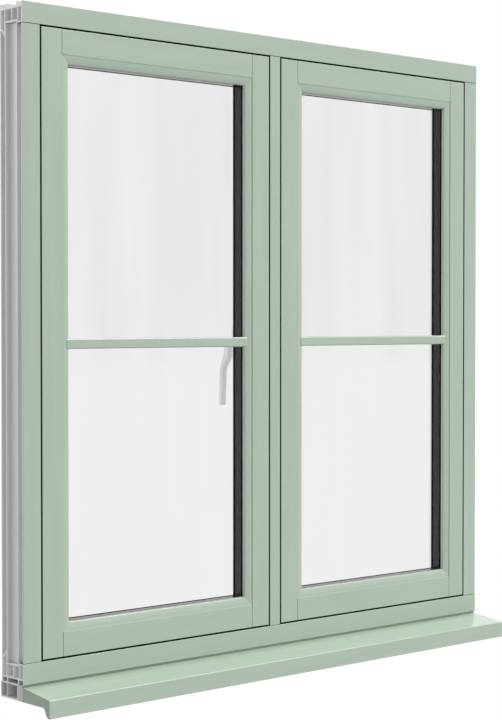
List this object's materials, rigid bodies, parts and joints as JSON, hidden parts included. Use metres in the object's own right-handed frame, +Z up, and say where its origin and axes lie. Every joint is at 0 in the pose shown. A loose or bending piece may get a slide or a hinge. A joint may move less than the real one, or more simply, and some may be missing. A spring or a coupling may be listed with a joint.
{
  "type": "flush sash window",
  "caption": "Flush casement window of hollow plastic profiles: paired sashes with astragal bars and ovolo beads, double glazing, espagnolette handles and a projecting sill.",
  "frame": {"origin": "on the sill's bedding face, mid-width, in line with the frame's outside face", "axes": "+X across the window, +Y from outdoors to indoors, +Z up"},
  "size_m": [1.2, 0.1871, 1.2463],
  "materials": {
    "green_foil": "sage green grained foil outside, white indoors",
    "white_plastic": "smooth white, satin",
    "glass": "clear float",
    "black_rubber": "matt",
    "black_spacer": "satin black",
    "white_handle": "gloss white paint on cast metal"
  },
  "bodies": {
    "window": {"frame_bottom_rail": "green_foil", "frame_head": "green_foil", "left_handle_base": "white_handle", "left_inner_astragal": "white_plastic", "left_jamb": "green_foil", "left_outer_astragal": "green_foil", "left_sash_bottom_bead": "white_plastic", "left_sash_bottom_rail": "green_foil", "left_sash_glazing_gasket": "black_rubber", "left_sash_inner_pane": "glass", "left_sash_left_bead": "white_plastic", "left_sash_left_stile": "green_foil", "left_sash_outer_pane": "glass", "left_sash_right_bead": "white_plastic", "left_sash_right_stile": "green_foil", "left_sash_spacer": "black_spacer", "left_sash_top_bead": "white_plastic", "left_sash_top_rail": "green_foil", "left_sill_end_cap": "green_foil", "left_weather_seal": "black_rubber", "mullion": "green_foil", "right_handle_base": "white_handle", "right_inner_astragal": "white_plastic", "right_jamb": "green_foil", "right_outer_astragal": "green_foil", "right_sash_bottom_bead": "white_plastic", "right_sash_bottom_rail": "green_foil", "right_sash_glazing_gasket": "black_rubber", "right_sash_inner_pane": "glass", "right_sash_left_bead": "white_plastic", "right_sash_left_stile": "green_foil", "right_sash_outer_pane": "glass", "right_sash_right_bead": "white_plastic", "right_sash_right_stile": "green_foil", "right_sash_spacer": "black_spacer", "right_sash_top_bead": "white_plastic", "right_sash_top_rail": "green_foil", "right_sill_end_cap": "green_foil", "right_weather_seal": "black_rubber", "sill": "green_foil"},
    "left_lever": {"left_handle_lever": "white_handle"},
    "right_lever": {"right_handle_lever": "white_handle"}
  },
  "joints": [
    {"name": "left_handle_turn", "type": "hinge", "parent": "window", "child": "left_lever", "pos_m": [-0.04885, 0.0673, 0.629], "axis": [0, 1, 0], "range_deg": [0, 90]},
    {"name": "right_handle_turn", "type": "hinge", "parent": "window", "child": "right_lever", "pos_m": [0.04885, 0.0673, 0.629], "axis": [0, -1, 0], "range_deg": [0, 90]}
  ]
}
